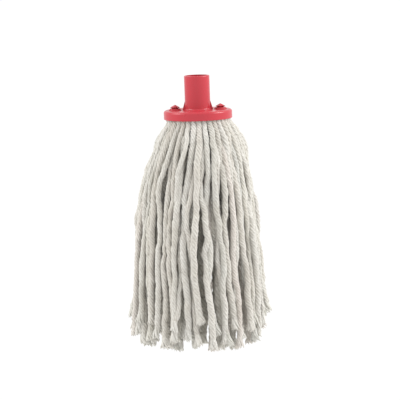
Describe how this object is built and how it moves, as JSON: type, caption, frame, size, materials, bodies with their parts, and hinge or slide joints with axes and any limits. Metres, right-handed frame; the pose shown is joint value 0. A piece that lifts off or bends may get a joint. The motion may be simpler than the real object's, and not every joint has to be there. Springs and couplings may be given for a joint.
{
  "type": "socket mop head",
  "caption": "Socket mop head: a moulded plastic handle socket with a round flange, from which twisted cotton yarns hang in a full skirt.",
  "frame": {"origin": "centre of the handle socket's mouth", "axes": "+Z along the handle socket, out of its mouth and up the handle; the two locks stand on the X axis"},
  "size_m": [0.1522, 0.1522, 0.3122],
  "materials": {
    "red_plastic": "semi-gloss moulded",
    "cotton_yarn": "raw twisted cotton"
  },
  "bodies": {
    "head": {"clamp_plate": "red_plastic", "clamped_yarn_lower": "cotton_yarn", "clamped_yarn_upper": "cotton_yarn", "lock_crown_left": "red_plastic", "lock_crown_right": "red_plastic", "socket": "red_plastic"},
    "bunch_01": {"bunch_01_core_yarns": "cotton_yarn", "bunch_01_inner_yarns": "cotton_yarn", "bunch_01_middle_yarns": "cotton_yarn", "bunch_01_outer_yarns": "cotton_yarn"},
    "bunch_02": {"bunch_02_core_yarns": "cotton_yarn", "bunch_02_inner_yarns": "cotton_yarn", "bunch_02_middle_yarns": "cotton_yarn", "bunch_02_outer_yarns": "cotton_yarn"},
    "bunch_03": {"bunch_03_core_yarns": "cotton_yarn", "bunch_03_inner_yarns": "cotton_yarn", "bunch_03_middle_yarns": "cotton_yarn", "bunch_03_outer_yarns": "cotton_yarn"},
    "bunch_04": {"bunch_04_core_yarns": "cotton_yarn", "bunch_04_inner_yarns": "cotton_yarn", "bunch_04_middle_yarns": "cotton_yarn", "bunch_04_outer_yarns": "cotton_yarn"},
    "bunch_05": {"bunch_05_core_yarns": "cotton_yarn", "bunch_05_inner_yarns": "cotton_yarn", "bunch_05_middle_yarns": "cotton_yarn", "bunch_05_outer_yarns": "cotton_yarn"},
    "bunch_06": {"bunch_06_core_yarns": "cotton_yarn", "bunch_06_inner_yarns": "cotton_yarn", "bunch_06_middle_yarns": "cotton_yarn", "bunch_06_outer_yarns": "cotton_yarn"},
    "bunch_07": {"bunch_07_core_yarns": "cotton_yarn", "bunch_07_inner_yarns": "cotton_yarn", "bunch_07_middle_yarns": "cotton_yarn", "bunch_07_outer_yarns": "cotton_yarn"},
    "bunch_08": {"bunch_08_core_yarns": "cotton_yarn", "bunch_08_inner_yarns": "cotton_yarn", "bunch_08_middle_yarns": "cotton_yarn", "bunch_08_outer_yarns": "cotton_yarn"},
    "bunch_09": {"bunch_09_core_yarns": "cotton_yarn", "bunch_09_inner_yarns": "cotton_yarn", "bunch_09_middle_yarns": "cotton_yarn", "bunch_09_outer_yarns": "cotton_yarn"},
    "bunch_10": {"bunch_10_core_yarns": "cotton_yarn", "bunch_10_inner_yarns": "cotton_yarn", "bunch_10_middle_yarns": "cotton_yarn", "bunch_10_outer_yarns": "cotton_yarn"},
    "bunch_11": {"bunch_11_core_yarns": "cotton_yarn", "bunch_11_inner_yarns": "cotton_yarn", "bunch_11_middle_yarns": "cotton_yarn", "bunch_11_outer_yarns": "cotton_yarn"},
    "bunch_12": {"bunch_12_core_yarns": "cotton_yarn", "bunch_12_inner_yarns": "cotton_yarn", "bunch_12_middle_yarns": "cotton_yarn", "bunch_12_outer_yarns": "cotton_yarn"}
  },
  "joints": [
    {"name": "bunch_01_swing", "type": "hinge", "parent": "head", "child": "bunch_01", "pos_m": [0.0336, 0, -0.0542], "axis": [0, -1, 0], "range_deg": [0, 70]},
    {"name": "bunch_02_swing", "type": "hinge", "parent": "head", "child": "bunch_02", "pos_m": [0.0291, 0.0168, -0.0542], "axis": [0.5, -0.866, 0], "range_deg": [0, 70]},
    {"name": "bunch_03_swing", "type": "hinge", "parent": "head", "child": "bunch_03", "pos_m": [0.0168, 0.0291, -0.0542], "axis": [0.866, -0.5, 0], "range_deg": [0, 70]},
    {"name": "bunch_04_swing", "type": "hinge", "parent": "head", "child": "bunch_04", "pos_m": [0, 0.0336, -0.0542], "axis": [1, 0, 0], "range_deg": [0, 70]},
    {"name": "bunch_05_swing", "type": "hinge", "parent": "head", "child": "bunch_05", "pos_m": [-0.0168, 0.0291, -0.0542], "axis": [0.866, 0.5, 0], "range_deg": [0, 70]},
    {"name": "bunch_06_swing", "type": "hinge", "parent": "head", "child": "bunch_06", "pos_m": [-0.0291, 0.0168, -0.0542], "axis": [0.5, 0.866, 0], "range_deg": [0, 70]},
    {"name": "bunch_07_swing", "type": "hinge", "parent": "head", "child": "bunch_07", "pos_m": [-0.0336, 0, -0.0542], "axis": [0, 1, 0], "range_deg": [0, 70]},
    {"name": "bunch_08_swing", "type": "hinge", "parent": "head", "child": "bunch_08", "pos_m": [-0.0291, -0.0168, -0.0542], "axis": [-0.5, 0.866, 0], "range_deg": [0, 70]},
    {"name": "bunch_09_swing", "type": "hinge", "parent": "head", "child": "bunch_09", "pos_m": [-0.0168, -0.0291, -0.0542], "axis": [-0.866, 0.5, 0], "range_deg": [0, 70]},
    {"name": "bunch_10_swing", "type": "hinge", "parent": "head", "child": "bunch_10", "pos_m": [0, -0.0336, -0.0542], "axis": [-1, 0, 0], "range_deg": [0, 70]},
    {"name": "bunch_11_swing", "type": "hinge", "parent": "head", "child": "bunch_11", "pos_m": [0.0168, -0.0291, -0.0542], "axis": [-0.866, -0.5, 0], "range_deg": [0, 70]},
    {"name": "bunch_12_swing", "type": "hinge", "parent": "head", "child": "bunch_12", "pos_m": [0.0291, -0.0168, -0.0542], "axis": [-0.5, -0.866, 0], "range_deg": [0, 70]}
  ]
}
